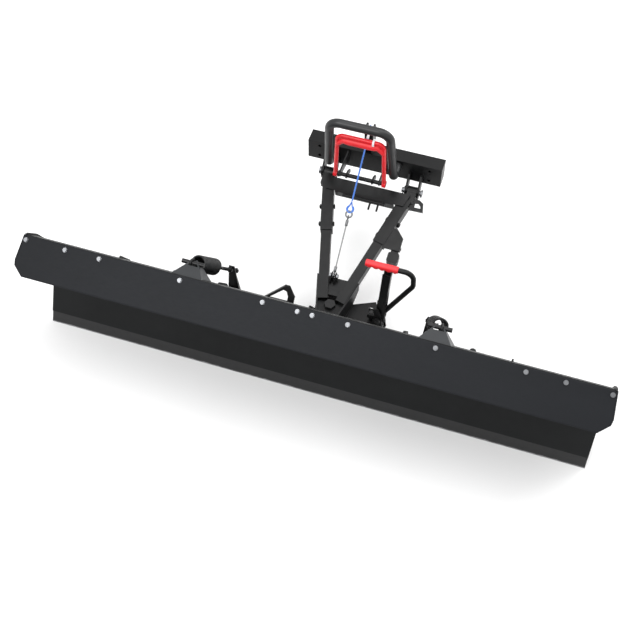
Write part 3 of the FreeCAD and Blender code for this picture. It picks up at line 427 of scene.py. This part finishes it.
def flange_point(x, s, n):
    """Point s down the flange and n above it."""
    c, d = math.cos(FLANGE_DIP), math.sin(FLANGE_DIP)
    return Vector((x, TOP_Y - s * c - n * d, TOP_Z - s * d + n * c))


def flap_half_width(s):
    """Half the flap's width a distance s down from its rear edge."""
    stops = [(0, 1044), (92, FLAP_WIDE), (112, 1048), (FLAP_L, 1012)]
    for (s0, w0), (s1, w1) in zip(stops, stops[1:]):
        if s <= s1:
            return w0 + (w1 - w0) * (s - s0) / (s1 - s0)
    return stops[-1][1]


def flap_lift(x, s):
    """Height of the rubber above its flat rest: pinched at the bolts, faintly wavy at its free edge."""
    free = max(0.0, s - 46) / (FLAP_L - 46)
    wave = noise.noise(Vector((x / 260, s / 160, 1.7))) * 2.2 * free
    pinch = sum(math.exp(-((abs(x) - b) ** 2 + (s - BOLT_S) ** 2) / 260) for b in BOLT_X)
    return wave - 0.5 * pinch


def make_flap():
    """Rubber flap as one closed sheet with rounded edges."""
    columns = 420
    rows = [0, 0.6, 2, 6, 10, 16, 22, 30, 44, 60, 76, 92, 103, 112, 124, 136, 142, 145.2, FLAP_L]
    bm = bmesh.new()
    layers = []
    for face in (1, 0):
        grid = []
        for s in rows:
            row, half = [], flap_half_width(s)
            for k in range(columns + 1):
                x = -half + 2 * half * k / columns
                rim = min(s, FLAP_L - s, half - abs(x))
                edge = 1.0 if rim > 1.5 else math.sqrt(max(0.0, rim / 1.5))
                n = FLAP_T / 2 + (face - 0.5) * FLAP_T * (0.55 + 0.45 * edge)
                row.append(bm.verts.new(place(flange_point(x, s, n + flap_lift(x, s)))))
            grid.append(row)
        layers.append(grid)
    top, low = layers
    for i in range(len(rows) - 1):
        for k in range(columns):
            bm.faces.new((top[i][k], top[i + 1][k], top[i + 1][k + 1], top[i][k + 1]))
            bm.faces.new((low[i][k], low[i][k + 1], low[i + 1][k + 1], low[i + 1][k]))
        for a, b in ((0, 1), (-1, -1)):
            pair = (top[i][a], low[i][a], low[i + 1][a], top[i + 1][a])
            bm.faces.new(pair if b == 1 else tuple(reversed(pair)))
    for k in range(columns):
        bm.faces.new((top[0][k], top[0][k + 1], low[0][k + 1], low[0][k]))
        bm.faces.new((top[-1][k + 1], top[-1][k], low[-1][k], low[-1][k + 1]))
    bmesh.ops.recalc_face_normals(bm, faces=bm.faces)
    flap = new_mesh("flap_sheet", bm, smooth=True)
    painted(flap, PAINTS["flap_rubber"])
    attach(flap, "moldboard")
    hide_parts("rubber_flap")


# ---------- trip springs ----------

def axes_of(start, end):
    """Direction from start to end, the direction nearest to X across it, and the third one."""
    axis = (end - start).normalized()
    across = Vector((1, 0, 0))
    across = (across - axis * across.dot(axis)).normalized()
    return axis, across, axis.cross(across)


def spring_points():
    """Centre line of one close-wound spring with a hook at each end."""
    axis, across, third = axes_of(SPRING_BOLT, SPRING_END)
    top, low = SPRING_BOLT + axis * 39, SPRING_BOLT + axis * 160
    mean = SPRING_R - SPRING_WIRE / 2
    turns = round((low - top).length / (SPRING_WIRE + 0.15))
    hook_r = 8.0 + SPRING_WIRE / 2 + 0.6
    points = arc(SPRING_BOLT, -third, axis, hook_r, -170, 60, 16)
    points += [SPRING_BOLT + axis * 20, SPRING_BOLT + axis * 30 + third * 4]
    steps = 36
    for k in range(turns * steps + 1):
        a = 2 * math.pi * k / steps
        radius = mean * min(1.0, 0.3 + k / 16, 0.3 + (turns * steps - k) / 16)
        out = (third * math.cos(a) + across * math.sin(a)) * radius
        points.append(top.lerp(low, k / (turns * steps)) + out)
    ring = SPRING_END - axis * 119
    points += [low + axis * 8 + third * 4]
    points += arc(ring, across, axis, 4.5 + SPRING_WIRE / 2 + 0.5, -60, 200, 16)
    return points


def smoothed(points, rounds):
    """Points with their corners relaxed, ends kept."""
    for _ in range(rounds):
        inner = [(a + b * 2 + c) / 4 for a, b, c in zip(points, points[1:], points[2:])]
        points = [points[0]] + inner + [points[-1]]
    return points


def make_springs():
    right = smoothed(spring_points(), 2)
    for side, sign in (("left", -1), ("right", 1)):
        points = [Vector((p.x * sign, p.y, p.z)) for p in right]
        spring = tube("coil_spring_" + side, points, SPRING_WIRE / 2, 14)
        painted(spring, PAINTS["spring_steel"])
        a, b = SPRING_END.copy(), SPRING_BOLT.copy()
        a.x, b.x = a.x * sign, b.x * sign
        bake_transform(spring)
        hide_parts("trip_spring_" + side)


def make_threads():
    """Rolled thread of both eyebolts, a ridge wound round each shank."""
    axis, across, third = axes_of(SPRING_BOLT, SPRING_END)
    pitch, steps = 2.2, 18
    start, end = -84.0, 35.0
    count = round((end - start) / pitch * steps)
    for side, sign in (("left", -1), ("right", 1)):
        points = []
        for k in range(count + 1):
            a = 2 * math.pi * k / steps
            p = SPRING_END + axis * (start + (end - start) * k / count)
            p = p + (third * math.cos(a) + across * math.sin(a)) * 5.9
            points.append(Vector((p.x * sign, p.y, p.z)))
        thread = tube("eyebolt_thread_" + side, points, 0.75, 6)
        painted(thread, PAINTS["spring_steel"])
        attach(thread, "swing_frame")


# ---------- grips ----------

def make_lever_grip():
    """Moulded grip with four finger grooves below and a flange at each end."""
    def fingers(share, direction):
        below = max(0.0, -direction.z)
        inside = 1.0 if 0.06 < share < 0.94 else 0.0
        return inside * below * 6.5 * (abs(math.sin(math.pi * (share * 5 - 0.1))) - 0.35)
    count = 96
    profile = [(0.0, GRIP_R - 2.2), (0.004, GRIP_R - 0.8), (0.012, GRIP_R)]
    profile += [(0.012 + 0.976 * k / count, GRIP_R) for k in range(1, count)]
    profile += [(0.988, GRIP_R), (0.996, GRIP_R - 0.8), (1.0, GRIP_R - 2.2)]
    grip = lathe("lever_grip_skin", GRIP_A, GRIP_B, profile, 40, fingers)
    painted(grip, PAINTS["red_plastic"])
    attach(grip, "angle_lever")
    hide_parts("lever_grip")


def rounded(points, radius, count=10):
    """Polyline with its inner corners turned into arcs of a given radius."""
    out = [points[0]]
    for before, corner, after in zip(points, points[1:], points[2:]):
        u, v = (before - corner).normalized(), (after - corner).normalized()
        half = u.angle(v) / 2
        centre = corner + (u + v).normalized() * (radius / math.sin(half))
        first = corner + u * (radius / math.tan(half)) - centre
        last = corner + v * (radius / math.tan(half)) - centre
        out += [centre + first.slerp(last, k / count) for k in range(count + 1)]
    return out + [points[-1]]


def make_release_grip():
    """Moulded top of the release handle, wrapped round its corners, with a pale reflective band."""
    y, top, inner = RELEASE_Y - 12, HANDLE_TOP, HANDLE_HALF
    left, right = Vector((LIFT_X - inner, y, top)), Vector((LIFT_X + inner, y, top))
    foot_left = Vector((LIFT_X - inner - 8, y + 10, 402))
    foot_right = Vector((LIFT_X + inner + 8, y + 10, 402))
    ends = left + (foot_left - left).normalized() * 46, right + (foot_right - right).normalized() * 46
    path = resampled(rounded([ends[0], left, right, ends[1]], 24.0), 1.5)
    total = sum((b - a).length for a, b in zip(path, path[1:]))

    def skin(run, a):
        end = min(run, total - run)
        share = min(1.0, max(0.0, (end - 22) / 34))
        size = 10.6 + 3.9 * share * share * (3 - 2 * share)
        size -= 2.2 * (1 - min(1.0, end / 3)) ** 2
        seams = min(a, 2 * math.pi - a), a - math.pi
        return size - 0.9 * sum(math.exp(-(angle * 7) ** 2) for angle in seams)
    grip = tube("release_grip_skin", path, skin, 48)
    painted(grip, PAINTS["red_plastic"])
    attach(grip, "release")
    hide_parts("release_grip")
    a, b = left.lerp(right, 0.76), left.lerp(right, 0.8)
    band = lathe("reflective_band", a, b, [(0, 14.3), (0.06, 14.75), (0.94, 14.75), (1, 14.3)], 48)
    painted(band, PAINTS["rope_sleeve"])
    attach(band, "release")


# ---------- lift line ----------

def on_line(s):
    return ANCHOR + (ROPE_EYE - ANCHOR).normalized() * s


def route(name, points):
    """Points of a smooth route through the given control points, in millimetres."""
    curve = bpy.data.curves.new(name, "CURVE")
    curve.dimensions = "3D"
    spline = curve.splines.new("NURBS")
    spline.points.add(len(points) - 1)
    for point, p in zip(spline.points, points):
        point.co = (*p, 1)
    spline.order_u = 3
    spline.use_endpoint_u = True
    spline.resolution_u = 24
    obj = bpy.data.objects.new(name, curve)
    bpy.context.scene.collection.objects.link(obj)
    mesh = bpy.data.meshes.new_from_object(obj)
    out = [v.co.copy() for v in mesh.vertices]
    bpy.data.objects.remove(obj)
    bpy.data.meshes.remove(mesh)
    return out


def resampled(points, step):
    """The same line with points evenly spaced."""
    total = sum((b - a).length for a, b in zip(points, points[1:]))
    count = max(2, round(total / step))
    out, run, k = [points[0]], 0.0, 0
    for n in range(1, count):
        goal = total * n / count
        while run + (points[k + 1] - points[k]).length < goal:
            run += (points[k + 1] - points[k]).length
            k += 1
        out.append(points[k].lerp(points[k + 1], (goal - run) / (points[k + 1] - points[k]).length))
    return out + [points[-1]]


def braid(run, a):
    """Radius of a twelve-strand rope."""
    turn = run / 11 * math.pi
    return ROPE_R * (0.9 + 0.1 * abs(math.cos(3 * a + turn)) + 0.08 * abs(math.cos(3 * a - turn)))


def strands(run, a):
    """Radius of a six-strand steel cable."""
    return CABLE_R * (0.82 + 0.18 * abs(math.cos(3 * (a + run / 9))))


def on_lift_line(obj, slot, *stands_for):
    """Paints a piece of the lift line, bakes its placement into the mesh and hides the CAD parts it stands
    for.
    """
    painted(obj, PAINTS[slot])
    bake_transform(obj)
    if stands_for:
        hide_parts(*stands_for)
    return obj


def teardrop(tip, centre, radius, u, v):
    """Closed eye: round about its centre and drawn to a point at its tip."""
    return smoothed([tip] + arc(centre, u, v, radius, 40, 320, 28) + [tip], 1)


def make_lift_line():
    axis, across, third = axes_of(ANCHOR, ROPE_EYE)
    end = (ROPE_EYE - ANCHOR).length
    cable_a, cable_b = on_line(30), on_line(LINK_AT - 36)
    path = resampled(route("cable_route", straight(cable_a, cable_b, 3)), 2.0)
    cable = on_lift_line(tube("steel_cable", path, strands, 18), "cable_wire", "lift_cable")
    lower = tube("cable_eye_a", teardrop(on_line(16), on_line(1.2), 9, axis, third), CABLE_R, 12)
    upper_line = teardrop(on_line(LINK_AT - 20), on_line(LINK_AT - 8), 7, -axis, third)
    upper = tube("cable_eye_b", upper_line, CABLE_R, 12)
    crimp = [(0, 4.4), (0.05, 5.4), (0.48, 5.6), (0.52, 5.6), (0.95, 5.4), (1, 4.4)]
    spans = (13, 36), (LINK_AT - 41, LINK_AT - 18)
    ferrules = [lathe("ferrule", on_line(a), on_line(b), crimp) for a, b in spans]
    ends = on_lift_line(joined("cable_fittings", [lower, upper] + ferrules), "cable_wire", "cable_ends")
    link_line = arc(on_line(LINK_AT + 4), axis, across, 12, 0, 348, 40)
    link = on_lift_line(tube("shackle", link_line, 3.0, 12, closed=True), "zinc", "line_link")
    eye = on_line(LINK_AT + 24)
    thimble_line = teardrop(eye + axis * 26, eye, 9.6, axis, across)
    thimble = on_lift_line(tube("thimble", thimble_line, 2.1, 12), "blue_anodised", "rope_thimble")
    loop_line = teardrop(eye + axis * 30, eye, 13.0, axis, across)
    loop = on_lift_line(tube("rope_loop", resampled(loop_line, 1.4), braid, 16), "rope_blue")
    rope_a, rope_b = on_line(LINK_AT + 52), on_line(end - 26)
    path = resampled(route("rope_route", straight(rope_a, rope_b, 4)), 1.4)
    rope = on_lift_line(tube("rope_braid", path, braid, 18), "rope_blue", "winch_rope")
    sleeves = []
    for s in (-1, 1):
        leg_a, leg_b = eye + axis * 12 + across * (s * 10.5), eye + axis * 32 + across * (s * 3.6)
        sleeves.append(lathe("sleeve", leg_a, leg_b, [(0, 3.6), (0.06, 4.2), (0.94, 4.2), (1, 3.6)], 20))
    collar = [(0, 4.0), (0.06, 5.0), (0.94, 5.0), (1, 4.0)]
    sleeves.append(lathe("collar", on_line(end - 40), on_line(end - 14), collar, 20))
    sleeve = on_lift_line(joined("rope_sleeves", sleeves), "rope_sleeve", "rope_ends")
    far_line = resampled(teardrop(on_line(end - 24), on_line(end), 10.5, -axis, third), 1.4)
    far_eye = on_lift_line(tube("rope_far_eye", far_line, braid, 16), "rope_blue")


make_camera()
make_studio()
paint_cad()
make_flap()
make_springs()
make_threads()
make_lever_grip()
make_release_grip()
make_lift_line()
